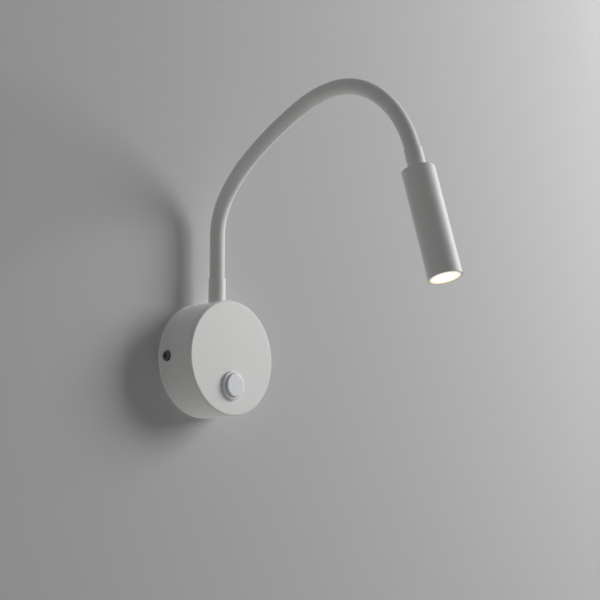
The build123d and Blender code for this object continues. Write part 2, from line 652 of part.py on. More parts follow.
def head_wires():
    """Two wires from the lead's end, spread to the board's edge and down through the heat sink."""
    near, far = HEAD_WIRE_SPACING / 2, BOARD_HOLE_CIRCLE / 2
    split = HEAD_LEAD_END + HEAD_WIRE_RUN
    route = [
        (near, 0, HEAD_LEAD_END),
        (near, 0, split),
        (far, 0, split + HEAD_WIRE_SPREAD),
        (far, 0, BOARD_FRONT),
    ]
    pair = wire(route, HEAD_WIRE_DIAMETER, HEAD_WIRE_BEND)
    return Compound([HEAD * pair, HEAD * Rot(0, 0, 180) * pair])


def lens():
    """Collimator: a swelling cone with a hollow over the chip, a flange and a flat front."""
    rear, front = LENS_REAR_DIAMETER / 2, LENS_FRONT_DIAMETER / 2
    flange = INSERT_DIAMETER / 2
    face = LENS_FACE_DIAMETER / 2
    hollow = LED_POCKET_DIAMETER / 2
    middle = ((rear + front) / 2 + LENS_SWELL, (LENS_REAR + LENS_SEAT) / 2)
    outline = ThreePointArc((rear, LENS_REAR), middle, (front, LENS_SEAT))
    outline += Polyline(
        (front, LENS_SEAT),
        (flange, LENS_SEAT),
        (flange, RING_REAR),
        (face, RING_REAR),
        (face, HEAD_LENGTH - LENS_RECESS),
        (0, HEAD_LENGTH - LENS_RECESS),
        (0, LENS_REAR + LED_POCKET_DEPTH),
        (hollow, LENS_REAR + LED_POCKET_DEPTH),
        (hollow, LENS_REAR),
        (rear, LENS_REAR),
    )
    return HEAD * turned(outline)


def lens_holder():
    """Collar that follows the lens's cone from the board's screws up to the lens's flange."""
    outer = INSERT_DIAMETER / 2
    mouth = outer - HOLDER_WALL
    slope = (LENS_FRONT_DIAMETER - LENS_REAR_DIAMETER) / (2 * LENS_LENGTH)
    outline = Polyline(
        (mouth, BOARD_FRONT),
        (outer, BOARD_FRONT),
        (outer, LENS_SEAT),
        (mouth, LENS_SEAT),
        (mouth - slope * LENS_LENGTH, LENS_REAR),
        (mouth, LENS_REAR),
        (mouth, BOARD_FRONT),
    )
    return HEAD * turned(outline)


def front_ring():
    """Thin ring pressed into the mouth of the head, over the lens's flange."""
    return HEAD * ring(INSERT_DIAMETER, INSERT_DIAMETER - 2 * FRONT_RING_WALL, FRONT_RING_HEIGHT, RING_REAR)


NODES = {
    "base_housing": base_housing(),
    "wall_plate": wall_plate(),
    "side_screws": side_screws(),
    "switch_housing": switch_housing(),
    "button_cap": button_cap(),
    "switch_spring": switch_spring(),
    "switch_terminals": switch_terminals(),
    "switch_washer": switch_washer(),
    "switch_nut": switch_nut(),
    "terminal_block": terminal_block(),
    "terminal_clamps": terminal_clamps(),
    "terminal_screws": terminal_screws(),
    "driver_case": driver_case(),
    "driver_lid": driver_lid(),
    "driver_pad": driver_pad(),
    "live_wire": live_wire(),
    "switched_wire": switched_wire(),
    "neutral_wire": neutral_wire(),
    "lower_ferrule": NECK * ferrule(LOWER_FERRULE_LENGTH, LOWER_STUD),
    "neck_washer": NECK_CLAMP * clamp_washer(),
    "neck_nut": NECK_CLAMP * clamp_nut(),
    "upper_ferrule": HOSE_END * ferrule(UPPER_FERRULE_LENGTH, UPPER_STUD),
    "head_washer": HEAD_CLAMP * clamp_washer(),
    "head_nut": HEAD_CLAMP * clamp_nut(),
    "head_housing": head_housing(),
    "heat_sink": heat_sink(),
    "led_board": led_board(),
    "board_screws": board_screws(),
    "led_chip": led_chip(),
    "head_wires": head_wires(),
    "lens_holder": lens_holder(),
    "lens": lens(),
    "front_ring": front_ring(),
}
NODES.update(neck_links())

os.makedirs("parts", exist_ok=True)
for name, shape in NODES.items():
    export_step(shape, f"parts/{name}.step")
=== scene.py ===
import json
import math

import bpy
import numpy as np
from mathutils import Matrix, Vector


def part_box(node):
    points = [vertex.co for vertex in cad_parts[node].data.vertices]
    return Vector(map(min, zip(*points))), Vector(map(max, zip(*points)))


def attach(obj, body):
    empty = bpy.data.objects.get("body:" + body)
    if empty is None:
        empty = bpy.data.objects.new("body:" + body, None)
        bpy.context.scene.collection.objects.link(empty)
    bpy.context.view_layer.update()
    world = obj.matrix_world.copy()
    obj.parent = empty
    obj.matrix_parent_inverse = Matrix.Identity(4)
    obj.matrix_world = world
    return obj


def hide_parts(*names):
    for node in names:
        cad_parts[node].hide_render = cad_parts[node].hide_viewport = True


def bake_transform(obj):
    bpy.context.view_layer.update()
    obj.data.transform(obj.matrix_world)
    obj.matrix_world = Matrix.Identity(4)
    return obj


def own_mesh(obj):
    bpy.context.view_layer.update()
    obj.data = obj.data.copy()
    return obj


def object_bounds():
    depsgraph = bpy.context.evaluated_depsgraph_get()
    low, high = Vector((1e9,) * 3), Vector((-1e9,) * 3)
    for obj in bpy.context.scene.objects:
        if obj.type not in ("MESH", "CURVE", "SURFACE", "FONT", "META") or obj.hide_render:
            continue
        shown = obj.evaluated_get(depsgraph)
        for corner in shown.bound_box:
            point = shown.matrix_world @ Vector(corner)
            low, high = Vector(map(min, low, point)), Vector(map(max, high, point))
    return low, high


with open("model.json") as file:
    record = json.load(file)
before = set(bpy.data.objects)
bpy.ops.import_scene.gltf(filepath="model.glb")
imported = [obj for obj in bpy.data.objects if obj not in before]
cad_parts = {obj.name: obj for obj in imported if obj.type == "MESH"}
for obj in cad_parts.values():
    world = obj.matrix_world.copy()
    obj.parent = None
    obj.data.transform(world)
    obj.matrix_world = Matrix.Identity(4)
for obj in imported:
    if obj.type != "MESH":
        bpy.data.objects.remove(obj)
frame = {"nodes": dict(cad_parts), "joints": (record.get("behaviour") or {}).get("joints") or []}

# Gooseneck reading light on a round wall base, in metres.
# The wall is the plane y = 0, the light stands out towards -y, and +z is up.
cad_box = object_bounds()

# The arm's line: nine links of one length, each an arc with its own turn, then the straight head
LINK_LENGTH = 0.0298
LINK_TURNS = np.radians((0, 35, 17, 8, 6, 22, 30, 24, 22, 0))
LINK_COUNT = len(LINK_TURNS) - 1
ARM_LENGTH = LINK_COUNT * LINK_LENGTH
LINK_HEADINGS = np.concatenate(([0.0], np.cumsum(LINK_TURNS)[:-1]))
FIRST_HINGE = next(Vector(joint["pos_m"]) for joint in frame["joints"] if joint["type"] == "hinge")
ARM_START = np.array((-FIRST_HINGE.y, FIRST_HINGE.z - LINK_LENGTH))


def arc_step(link, run):
    """Step (out, up) of a run along a link's arc from its start, and the heading where the run ends.

    The step is the arc's chord: the run times the sine of half its turn over that half, in the
    direction halfway through the turn.
    """
    half = LINK_TURNS[link] * run / LINK_LENGTH / 2
    chord = run * np.sinc(half / np.pi)
    middle = LINK_HEADINGS[link] + half
    return np.stack([chord * np.sin(middle), chord * np.cos(middle)], axis=-1), middle + half


LINK_STEPS, _ = arc_step(np.arange(LINK_COUNT), LINK_LENGTH)
LINK_STARTS = ARM_START + np.vstack([np.zeros(2), np.cumsum(LINK_STEPS, axis=0)])


def arm_line(length):
    """Points (out, up) and headings at lengths along the arm: a link's start plus the step from it."""
    link = np.clip(np.floor(length / LINK_LENGTH).astype(int), 0, LINK_COUNT)
    step, heading = arc_step(link, length - link * LINK_LENGTH)
    return LINK_STARTS[link] + step, heading


def arm_point(length):
    """Point of the arm's line in the light's frame."""
    (out, up), _ = arm_line(np.array(length))
    return Vector((0, -out, up))


# Places of the round pieces
class Place:
    """A point with three square axes; round pieces are turned about its z axis."""

    def __init__(self, origin, x_axis, z_axis):
        self.origin = np.array(origin, float)
        self.axes = np.array([x_axis, np.cross(z_axis, x_axis), z_axis], float)

    def put(self, points):
        """Points of this place, in the light's frame."""
        return self.origin + points @ self.axes

    def measure(self, node):
        """Least height, greatest height and greatest radius of a CAD node here."""
        local = (node_points(node) - self.origin) @ self.axes.T
        return local[:, 2].min(), local[:, 2].max(), np.hypot(local[:, 0], local[:, 1]).max()


def node_points(node):
    """Corners of a CAD node's mesh."""
    mesh = frame["nodes"][node].data
    points = np.empty(3 * len(mesh.vertices), np.float32)
    mesh.vertices.foreach_get("co", points)
    return points.reshape(-1, 3)


def box_middle(node):
    """Middle of a CAD node's box."""
    low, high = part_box(node)
    return (low + high) / 2


ARM_HEADING = LINK_HEADINGS[-1]
NECK = Place(arm_point(0), (1, 0, 0), (0, 0, -1))
HEAD = Place(arm_point(ARM_LENGTH), (1, 0, 0), (0, -math.sin(ARM_HEADING), math.cos(ARM_HEADING)))
SWITCH = Place((0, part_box("base_housing")[0].y, box_middle("button_cap").z), (1, 0, 0), (0, -1, 0))
SCREWS = Place(box_middle("side_screws"), (0, 1, 0), (1, 0, 0))
*_, LENS_RADIUS = HEAD.measure("lens")
*_, HEAD_RADIUS = HEAD.measure("head_housing")


# Surfaces on grids of two parameters
ROUNDING_STEPS = 7
COIL_STEPS_PER_TURN = 48
WIRE_SIDES = 14
SMOOTH_ANGLE = math.radians(32)
POLE_WIDTH = 1e-9


def ring_angles(columns):
    """Angles of a ring of columns, evenly spaced."""
    return np.linspace(0, 2 * np.pi, columns, endpoint=False)


def arm_grid(profile, columns):
    """A profile of lengths and radii carried round the arm's line.

    Row by row: the line's point at that length, plus the radius times (cos a, sin a) along the two
    directions that are square to the arm.
    """
    length, radius = np.asarray(profile, float).T
    centre, heading = arm_line(length)
    angle = ring_angles(columns)
    across = radius[:, None] * np.cos(angle)
    over = radius[:, None] * np.sin(angle)
    out = centre[:, :1] - over * np.cos(heading)[:, None]
    up = centre[:, 1:] + over * np.sin(heading)[:, None]
    return np.stack([across, -out, up], axis=-1)


def turned_grid(profile, place, columns, thread):
    """A profile of heights and radii turned about a place's z axis: (radius cos a, radius sin a, height).

    A thread is its start, end, pitch and core radius. What stands outside the core is cut down to it
    along a helix: the share left is a triangle wave of height over pitch less angle over a full turn,
    and the cut runs out over one pitch at each end.
    """
    height, radius = np.asarray(profile, float).T
    start, end, pitch, core = thread
    angle = ring_angles(columns)
    height = height[:, None] + 0 * angle
    radius = radius[:, None] + 0 * angle
    wave = np.abs(2 * ((height / pitch - angle / (2 * np.pi)) % 1) - 1)
    cut = np.clip((height - start) / pitch, 0, 1) * np.clip((end - height) / pitch, 0, 1)
    radius = radius - np.maximum(radius - core, 0) * (1 - wave) * cut
    return place.put(np.stack([radius * np.cos(angle), radius * np.sin(angle), height], axis=-1))


def coil_grid(radius, wire, turns, low, high, place):
    """Wire wound about a place's z axis: ((r + w cos b) cos a, (r + w cos b) sin a, height + w sin b).

    Angle a goes along the wire and b round it. The height rises evenly between a flat turn at each end,
    and the wire's radius w is nothing in the first and last rows, which closes its ends.
    """
    along = np.linspace(0, turns, COIL_STEPS_PER_TURN * turns + 1)[:, None]
    rise = np.clip((along - 1) / (turns - 2), 0, 1)
    height = low + wire + rise * (high - low - 2 * wire)
    thick = np.full_like(along, wire)
    thick[[0, -1]] = 0
    angle = 2 * np.pi * along
    side = ring_angles(WIRE_SIDES)
    out = radius + thick * np.cos(side)
    up = height + thick * np.sin(side)
    return place.put(np.stack([out * np.cos(angle), out * np.sin(angle), up], axis=-1))


def rounded(*corners):
    """Profile through corners of (height, radius, rounding): each corner is an arc of its rounding.

    The arc's ends lie on the two sides, at the rounding over the tangent of half the corner's angle.
    """
    spots = np.array([complex(height, radius) for height, radius, _ in corners])
    roundings = [rounding for _, _, rounding in corners]
    parts = []
    for spot, before, after, rounding in zip(spots, np.roll(spots, 1), np.roll(spots, -1), roundings):
        if not rounding:
            parts.append([spot])
            continue
        back = (before - spot) / abs(before - spot)
        ahead = (after - spot) / abs(after - spot)
        half = abs(np.angle(ahead / back)) / 2
        middle = (back + ahead) / abs(back + ahead)
        centre = spot + middle * rounding / math.sin(half)
        first = spot + back * rounding / math.tan(half) - centre
        last = spot + ahead * rounding / math.tan(half) - centre
        sweep = np.angle(last / first) * np.linspace(0, 1, ROUNDING_STEPS)
        parts.append(centre + first * np.exp(1j * sweep))
    line = np.concatenate(parts)
    return np.stack([line.real, line.imag], axis=-1)


def grid_mesh(name, grid, closed):
    """Mesh of a grid of points, facing outwards.

    Columns go round, rows do too if closed, and a row whose points are all one is a pole.
    """
    rows, columns = grid.shape[:2]
    index = np.arange(rows * columns).reshape(rows, columns)
    pole = np.ptp(grid, axis=1).max(axis=1) < POLE_WIDTH
    index[pole] = index[pole, :1]
    if closed:
        index = np.vstack([index, index[:1]])
    index = np.hstack([index, index[:, :1]])
    corners = np.stack([index[:-1, :-1], index[:-1, 1:], index[1:, 1:], index[1:, :-1]], axis=-1)
    used, faces = np.unique(corners.reshape(-1, 4), return_inverse=True)
    faces = faces.reshape(-1, 4)
    points = grid.reshape(-1, 3)[used]
    first, second, third, fourth = (points[column] for column in faces.T)
    volume = np.sum(first * np.cross(second, third)) + np.sum(first * np.cross(third, fourth))
    if volume < 0:
        faces = faces[:, ::-1]
    start = faces[:, 0] == faces[:, 1]
    end = faces[:, 2] == faces[:, 3]
    ends = np.vstack([faces[start][:, [0, 2, 3]], faces[end][:, [0, 1, 2]]])
    mesh = bpy.data.meshes.new(name)
    mesh.from_pydata(points, [], faces[~(start | end)].tolist() + ends.tolist())
    mesh.shade_smooth()
    mesh.set_sharp_from_angle(angle=SMOOTH_ANGLE)
    return mesh


def piece(name, grid, material, replaced, body=None, closed=True):
    """Object of one grid: its finish, the CAD nodes it stands for and its body."""
    made = bpy.data.objects.new(name, grid_mesh(name, grid, closed))
    bpy.context.scene.collection.objects.link(made)
    made.data.materials.append(material)
    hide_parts(*replaced)
    if body:
        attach(made, body)
    return made


# Finishes
class Signal:
    """A socket in a finish's node tree; arithmetic on signals adds Math nodes."""

    def __init__(self, tree, socket=None):
        self.tree = tree
        self.socket = socket

    def node(self, kind, settings=None, inputs=None, output=0):
        """Add a node: its settings first, with a ramp's stops, then its sockets' values or links."""
        added = self.tree.nodes.new(kind)
        for key, value in (settings or {}).items():
            if key == "stops":
                while len(added.color_ramp.elements) < len(value):
                    added.color_ramp.elements.new(1.0)
                for element, (position, colour) in zip(added.color_ramp.elements, value):
                    element.position = position
                    element.color = (*colour, 1.0)
            else:
                setattr(added, key, value)
        for key, value in (inputs or {}).items():
            if isinstance(value, Signal):
                self.tree.links.new(value.socket, added.inputs[key])
            else:
                added.inputs[key].default_value = value
        return Signal(self.tree, added.outputs[output] if added.outputs else None)

    def combine(self, operation, left, right):
        """Math node of two values."""
        return self.node("ShaderNodeMath", {"operation": operation}, {0: left, 1: right})

    def __add__(self, other):
        return self.combine("ADD", self, other)

    def __radd__(self, other):
        return self.combine("ADD", other, self)

    def __sub__(self, other):
        return self.combine("SUBTRACT", self, other)

    def __rsub__(self, other):
        return self.combine("SUBTRACT", other, self)

    def __mul__(self, other):
        return self.combine("MULTIPLY", self, other)

    def __rmul__(self, other):
        return self.combine("MULTIPLY", other, self)


def finish(name, build):
    """Material whose shader is what build returns, given the object coordinates."""
    material = bpy.data.materials.new(name)
    material.use_nodes = True
    tree = material.node_tree
    tree.nodes.clear()
    point = Signal(tree).node("ShaderNodeTexCoord", output="Object")
    point.node("ShaderNodeOutputMaterial", inputs={"Surface": build(point)})
    return material


def noise(point, scale, detail=3.0, roughness=0.55):
    """Cloudy noise from 0 to 1; scale is in lumps per metre."""
    inputs = {"Vector": point, "Scale": scale, "Detail": detail, "Roughness": roughness}
    return point.node("ShaderNodeTexNoise", inputs=inputs)


def stretched(point, scale):
    """Coordinates scaled along each axis."""
    return point.node("ShaderNodeMapping", inputs={"Vector": point, "Scale": scale})


def axis_distance(point, axis):
    """Distance from the z axis of a Place: the length of the cross product with its direction."""
    offset = point.node(
        "ShaderNodeVectorMath", {"operation": "SUBTRACT"}, {0: point, 1: tuple(axis.origin)}
    )
    side = point.node(
        "ShaderNodeVectorMath", {"operation": "CROSS_PRODUCT"}, {0: offset, 1: tuple(axis.axes[2])}
    )
    return point.node("ShaderNodeVectorMath", {"operation": "LENGTH"}, {0: side}, output="Value")


def ramp(factor, stops):
    """Colour from stops of (position, colour)."""
    return factor.node("ShaderNodeValToRGB", {"stops": stops}, {"Fac": factor})


# Sockets of a Mix node that mixes colours
MIX_FACTOR, MIX_LOW, MIX_HIGH = 0, 6, 7
MIX_COLOUR = 2


def tint(factor, low, high):
    """Colour between two by a factor."""
    inputs = {MIX_FACTOR: factor, MIX_LOW: (*low, 1.0), MIX_HIGH: (*high, 1.0)}
    return factor.node("ShaderNodeMix", {"data_type": "RGBA"}, inputs, output=MIX_COLOUR)


def weighed(first, second, share):
    """Mean of two values, with a share of the first and the rest of the second."""
    return share * first + (1 - share) * second


def uneven(factor, middle, spread):
    """Value that strays from its middle by up to a spread, by a factor from 0 to 1."""
    return middle - spread + 2 * spread * factor


def relief(height, depth, strength):
    """Normal of a height from 0 to 1 that is so many metres deep."""
    inputs = {"Height": height, "Distance": depth, "Strength": strength}
    return height.node("ShaderNodeBump", inputs=inputs)


def surface(point, **inputs):
    """Principled shader with these sockets."""
    named = {key.replace("_", " ").title(): value for key, value in inputs.items()}
    return point.node("ShaderNodeBsdfPrincipled", inputs=named)


def white_coat(point, **more):
    """White coat, faintly uneven in tone and gloss, with more of the shader's sockets."""
    cloud = noise(point, scale=90.0)
    return surface(
        point,
        base_color=tint(cloud, low=(0.79, 0.79, 0.78), high=(0.84, 0.84, 0.83)),
        roughness=uneven(cloud, middle=0.52, spread=0.08),
        **more,
    )


def powder_coat(point):
    """Matt white powder coat with a fine orange peel."""
    peel = noise(point, scale=1500.0, detail=2.0)
    return white_coat(point, normal=relief(peel, depth=0.00004, strength=0.5))


def silicone(point):
    """Matt white sleeve: soft mottling and a very fine grain."""
    grain = noise(point, scale=2600.0, detail=2.0)
    cloud = noise(point, scale=140.0, detail=4.0)
    return surface(
        point,
        base_color=tint(cloud, low=(0.77, 0.77, 0.76), high=(0.82, 0.82, 0.81)),
        roughness=uneven(cloud, middle=0.65, spread=0.07),
        normal=relief(grain, depth=0.00003, strength=0.45),
    )


def moulded(low, high, roughness, grain=1900.0):
    """Moulded plastic between two tones: a spark-eroded grain and slightly uneven gloss."""

    def build(point):
        fine = noise(point, scale=grain, detail=2.0)
        cloud = noise(point, scale=210.0)
        return surface(
            point,
            base_color=tint(cloud, low, high),
            roughness=uneven(fine, middle=roughness, spread=0.06),
            normal=relief(fine, depth=0.00002, strength=0.4),
        )

    return build


def plated(low, high, roughness, streak=(60.0, 900.0, 900.0)):
    """Plated or rolled metal between two tones: cloudy patches, and fine streaks along one axis."""

    def build(point):
        lines = noise(stretched(point, streak), scale=1.0, detail=4.0, roughness=0.6)
        cloud = noise(point, scale=160.0)
        return surface(
            point,
            base_color=tint(weighed(cloud, lines, share=0.6), low, high),
            metallic=1.0,
            roughness=uneven(lines, middle=roughness, spread=0.1),
            normal=relief(lines, depth=0.00001, strength=0.3),
        )

    return build


def turned_metal(low, high, roughness, axis):
    """Turned metal between two tones: rings about an axis, from noise along the distance to it."""

    def build(point):
        rings = point.node(
            "ShaderNodeTexNoise",
            {"noise_dimensions": "1D"},
            {"W": axis_distance(point, axis), "Scale": 5000.0, "Detail": 3.0},
        )
        cloud = noise(point, scale=300.0)
        return surface(
            point,
            base_color=tint(rings, low, high),
            metallic=1.0,
            roughness=uneven(weighed(rings, cloud, share=0.6), middle=roughness, spread=0.1),
            normal=relief(rings, depth=0.000012, strength=0.35),
        )

    return build


def foam(point):
    """Closed-cell foam tape: small pits."""
    cells = point.node("ShaderNodeTexVoronoi", inputs={"Vector": point, "Scale": 2400.0})
    return surface(
        point,
        base_color=tint(cells, low=(0.16, 0.16, 0.16), high=(0.09, 0.09, 0.09)),
        roughness=uneven(cells, middle=0.9, spread=0.05),
        normal=relief(cells, depth=0.00012, strength=0.6),
    )


# Light in the head: the strength of each glow, and its tones from the inner edge to the outer one
LENS_GLOW = 1.2
LENS_TONES = ((0.0, (1.0, 0.98, 0.94)), (0.6, (0.9, 0.84, 0.72)), (1.0, (0.5, 0.4, 0.26)))
# Painted glow on the white front ring: its emission stands for the lens's light falling on the coat, and
# the ring is no lamp of its own
RIM_PAINTED_GLOW = 0.6
RIM_PAINTED_TONES = ((0.0, (0.8, 0.66, 0.46)), (0.5, (0.6, 0.48, 0.32)), (1.0, (0.4, 0.32, 0.21)))
RING_SCALE = 260.0
RING_SHADE = 0.08


def lit_lens(point):
    """Collimator lit from behind: warm white, softer towards the rim, with faint moulded rings."""
    distance = axis_distance(point, HEAD)
    rings = point.node(
        "ShaderNodeTexWave",
        {"wave_type": "RINGS", "rings_direction": "SPHERICAL"},
        {"Vector": point.node("ShaderNodeCombineXYZ", inputs={0: distance}), "Scale": RING_SCALE},
    )
    share = distance * (1 / LENS_RADIUS)
    return surface(
        point,
        base_color=(0.55, 0.54, 0.52, 1.0),
        roughness=uneven(rings, middle=0.15, spread=0.03),
        emission_color=ramp(share + RING_SHADE * rings, LENS_TONES),
        emission_strength=LENS_GLOW,
    )


def painted_glow_rim(point):
    """White ring round the lit lens: a painted glow in its emission stands for the lens's warm light on
    the coat, fading outwards.
    """
    share = (axis_distance(point, HEAD) - LENS_RADIUS) * (1 / (HEAD_RADIUS - LENS_RADIUS))
    return white_coat(point, emission_color=ramp(share, RIM_PAINTED_TONES), emission_strength=RIM_PAINTED_GLOW)


def lit_chip(point):
    """Phosphor disc: yellow, grainy and lit."""
    grain = noise(point, scale=4000.0, detail=2.0)
    glow = tint(grain, low=(1.0, 0.8, 0.45), high=(1.0, 0.88, 0.6))
    return surface(
        point, base_color=glow, roughness=0.7, emission_color=glow, emission_strength=LENS_GLOW
    )


POWDER_COAT = finish("powder_coat", powder_coat)
SILICONE = finish("silicone", silicone)
SWITCH_PLASTIC = finish("switch_plastic", moulded((0.74, 0.75, 0.77), (0.78, 0.79, 0.81), 0.4))
BUTTON_PLASTIC = finish("button_plastic", moulded((0.76, 0.77, 0.79), (0.8, 0.81, 0.83), 0.34))
ZINC = finish("zinc_steel", plated((0.42, 0.43, 0.46), (0.66, 0.66, 0.65), 0.32))
SCREW_STEEL = finish("screw_steel", turned_metal((0.03, 0.03, 0.032), (0.06, 0.06, 0.062), 0.36, SCREWS))
HOSE_STEEL = finish("hose_steel", plated((0.5, 0.5, 0.5), (0.58, 0.58, 0.58), 0.36, (900.0, 900.0, 60.0)))
LEAD_JACKET = finish("lead_jacket", moulded((0.73, 0.73, 0.72), (0.77, 0.77, 0.76), 0.5))
BRASS = finish("brass", plated((0.74, 0.57, 0.28), (0.82, 0.66, 0.36), 0.3))
NYLON = finish("terminal_nylon", moulded((0.84, 0.83, 0.78), (0.88, 0.87, 0.82), 0.45))
DRIVER_PLASTIC = finish("driver_plastic", moulded((0.81, 0.81, 0.8), (0.85, 0.85, 0.84), 0.48, 1200.0))
FOAM = finish("adhesive_foam", foam)
WIRE_BROWN = finish("wire_brown", moulded((0.25, 0.11, 0.05), (0.31, 0.15, 0.07), 0.38))
WIRE_BLACK = finish("wire_black", moulded((0.03, 0.03, 0.03), (0.05, 0.05, 0.05), 0.38))
WIRE_BLUE = finish("wire_blue", moulded((0.04, 0.15, 0.44), (0.06, 0.19, 0.52), 0.38))
WIRE_RED = finish("wire_red", moulded((0.46, 0.04, 0.03), (0.54, 0.06, 0.05), 0.38))
ALUMINIUM = finish("heat_sink_aluminium", turned_metal((0.7, 0.71, 0.72), (0.8, 0.81, 0.82), 0.32, HEAD))
BOARD_WHITE = finish("board_white", moulded((0.86, 0.86, 0.84), (0.9, 0.9, 0.88), 0.3))
HOLDER_PLASTIC = finish("holder_plastic", moulded((0.05, 0.05, 0.05), (0.07, 0.07, 0.07), 0.5))
LIT_LENS = finish("lit_lens", lit_lens)
# Front ring's finish: white coat with a painted glow of the lens's light
PAINTED_GLOW_RIM_COAT = finish("painted_glow_rim", painted_glow_rim)
LIT_CHIP = finish("lit_chip", lit_chip)

# Finishes of the CAD nodes that show as they are
LINKS = range(1, LINK_COUNT + 1)
BASE_HARDWARE = ("wall_plate", "switch_washer", "switch_nut", "terminal_screws")
CLAMP_HARDWARE = ("neck_washer", "neck_nut", "head_washer", "head_nut")
FINISHED_NODES = (
    (POWDER_COAT, ("base_housing", "head_housing")),
    (BUTTON_PLASTIC, ("button_cap",)),
    (ZINC, BASE_HARDWARE + CLAMP_HARDWARE),
    (SCREW_STEEL, ("side_screws", "board_screws")),
    (HOSE_STEEL, tuple(f"neck_core_{number}" for number in LINKS)),
    (LEAD_JACKET, tuple(f"neck_lead_{number}" for number in LINKS)),
    (BRASS, ("switch_terminals", "terminal_clamps")),
    (NYLON, ("terminal_block",)),
    (DRIVER_PLASTIC, ("driver_case", "driver_lid")),
    (FOAM, ("driver_pad",)),
    (WIRE_BROWN, ("live_wire",)),
    (WIRE_BLACK, ("switched_wire",)),
    (WIRE_BLUE, ("neutral_wire",)),
    (WIRE_RED, ("head_wires",)),
    (ALUMINIUM, ("heat_sink",)),
    (BOARD_WHITE, ("led_board",)),
    (LIT_CHIP, ("led_chip",)),
    (HOLDER_PLASTIC, ("lens_holder",)),
    (LIT_LENS, ("lens",)),
    # The front ring gets the white coat with the painted glow of the lens's light
    (PAINTED_GLOW_RIM_COAT, ("front_ring",)),
)
for material, names in FINISHED_NODES:
    for name in names:
        frame["nodes"][name].data.materials.clear()
        frame["nodes"][name].data.materials.append(material)

# Sleeve of the arm
*_, SLEEVE_RADIUS = NECK.measure("neck_sleeve_1")
SLEEVE_WALL = 0.0011
SLEEVE_TUCK = 0.0075
SLEEVE_STEP = 0.0008
SLEEVE_SIDES = 72


def sleeve():
    """Smooth sleeve of the arm, in spans from mid-link to mid-link, each curved along the arm's line
    across one joint.
    """
    for number in range(1, LINK_COUNT):
        before = (number - 0.5) * LINK_LENGTH
        after = (number + 0.5) * LINK_LENGTH
        start = before if number > 1 else -SLEEVE_TUCK
        end = after if number < LINK_COUNT - 1 else ARM_LENGTH + SLEEVE_TUCK
        rows = round((end - start) / SLEEVE_STEP) + 1
        skin = np.linspace((start, SLEEVE_RADIUS), (end, SLEEVE_RADIUS), rows)
        grid = arm_grid(np.concatenate([skin, skin[::-1] - (0, SLEEVE_WALL)]), SLEEVE_SIDES)
        replaced = [f"neck_sleeve_{number + 1}"]
        if number == 1:
            replaced.append("neck_sleeve_1")
        span = piece(f"arm_sleeve_{number}", grid, SILICONE, replaced)
        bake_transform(span)


# Threads of the ferrules and of the switch
THREAD_PITCH = 0.001
THREAD_DEPTH = 0.0005
THREAD_ROWS_PER_TURN = 10


def thread_run(start, end, radius):
    """Rows of a threaded stretch, close enough together to show the thread."""
    rows = round(abs(end - start) / THREAD_PITCH * THREAD_ROWS_PER_TURN) + 1
    return np.linspace((start, radius), (end, radius), rows)


# Ferrules at the arm's ends: each stud goes through its seat, and on through a washer and a nut
FERRULE_RADIUS = 0.006
FERRULE_EDGE = 0.0002
FERRULE_SIDES = 96
SOCKET_RADIUS = 0.0054
SOCKET_DEPTH = 0.008
STUD_RADIUS = 0.005
STUD_BORE = 0.0021
CLAMPED_STACK = 0.0055
NECK_PAD = 0.0035
HEAD_TOP = 0.0025


def ferrule(name, place, body, seat):
    """Cup for the hose's end with a hollow threaded stud through a seat, turned from one profile."""
    _, end, _ = place.measure(name)
    collar = end - CLAMPED_STACK - seat
    cup = rounded(
        (SOCKET_DEPTH, SOCKET_RADIUS, 0),
        (0, SOCKET_RADIUS, FERRULE_EDGE),
        (0, FERRULE_RADIUS, FERRULE_EDGE),
        (collar, FERRULE_RADIUS, 0),
    )
    stud = thread_run(collar, end, STUD_RADIUS)
    bore = [(end, STUD_BORE), (SOCKET_DEPTH, STUD_BORE)]
    thread = (collar, end + THREAD_PITCH / 2, THREAD_PITCH, STUD_RADIUS - THREAD_DEPTH)
    grid = turned_grid(np.concatenate([cup, stud, bore]), place, FERRULE_SIDES, thread)
    piece(f"{name}_turned", grid, POWDER_COAT, [name], body)


# Switch, with its heights from the front of the base
SWITCH_FOOT, BEZEL_HEIGHT, BEZEL_RADIUS = SWITCH.measure("switch_housing")
SWITCH_SIDES = 128
BEZEL_ROUND = 0.0006
BARREL_RADIUS = 0.009
BARREL_LENGTH = 0.012
SWITCH_BODY_RADIUS = 0.008
POCKET_RADIUS = 0.00815
POCKET_DEPTH = 0.0035
STEM_RADIUS = 0.00515
STEM_FLOOR = -0.0105


def switch_ring():
    """Rounded bezel, threaded barrel and body of the switch, with the stepped bore for the button."""
    pocket_floor = BEZEL_HEIGHT - POCKET_DEPTH
    bore = [(STEM_FLOOR, 0), (STEM_FLOOR, STEM_RADIUS), (pocket_floor, STEM_RADIUS)]
    bezel = rounded(
        (pocket_floor, POCKET_RADIUS, 0),
        (BEZEL_HEIGHT, POCKET_RADIUS, BEZEL_ROUND / 2),
        (BEZEL_HEIGHT, BEZEL_RADIUS, BEZEL_ROUND),
        (0, BEZEL_RADIUS, 0),
    )
    barrel = thread_run(0, -BARREL_LENGTH, BARREL_RADIUS)
    foot = rounded(
        (-BARREL_LENGTH, SWITCH_BODY_RADIUS, 0),
        (SWITCH_FOOT, SWITCH_BODY_RADIUS, BEZEL_ROUND),
        (SWITCH_FOOT, 0, 0),
    )
    thread = (-BARREL_LENGTH - THREAD_PITCH / 2, 0, THREAD_PITCH, BARREL_RADIUS - THREAD_DEPTH)
    grid = turned_grid(np.concatenate([bore, bezel, barrel, foot]), SWITCH, SWITCH_SIDES, thread)
    replaced = ["switch_housing"]
    piece("switch_ring", grid, SWITCH_PLASTIC, replaced, "base", closed=False)


# Spring behind the button
SPRING_WIRE = 0.0003
SPRING_TURNS = 6


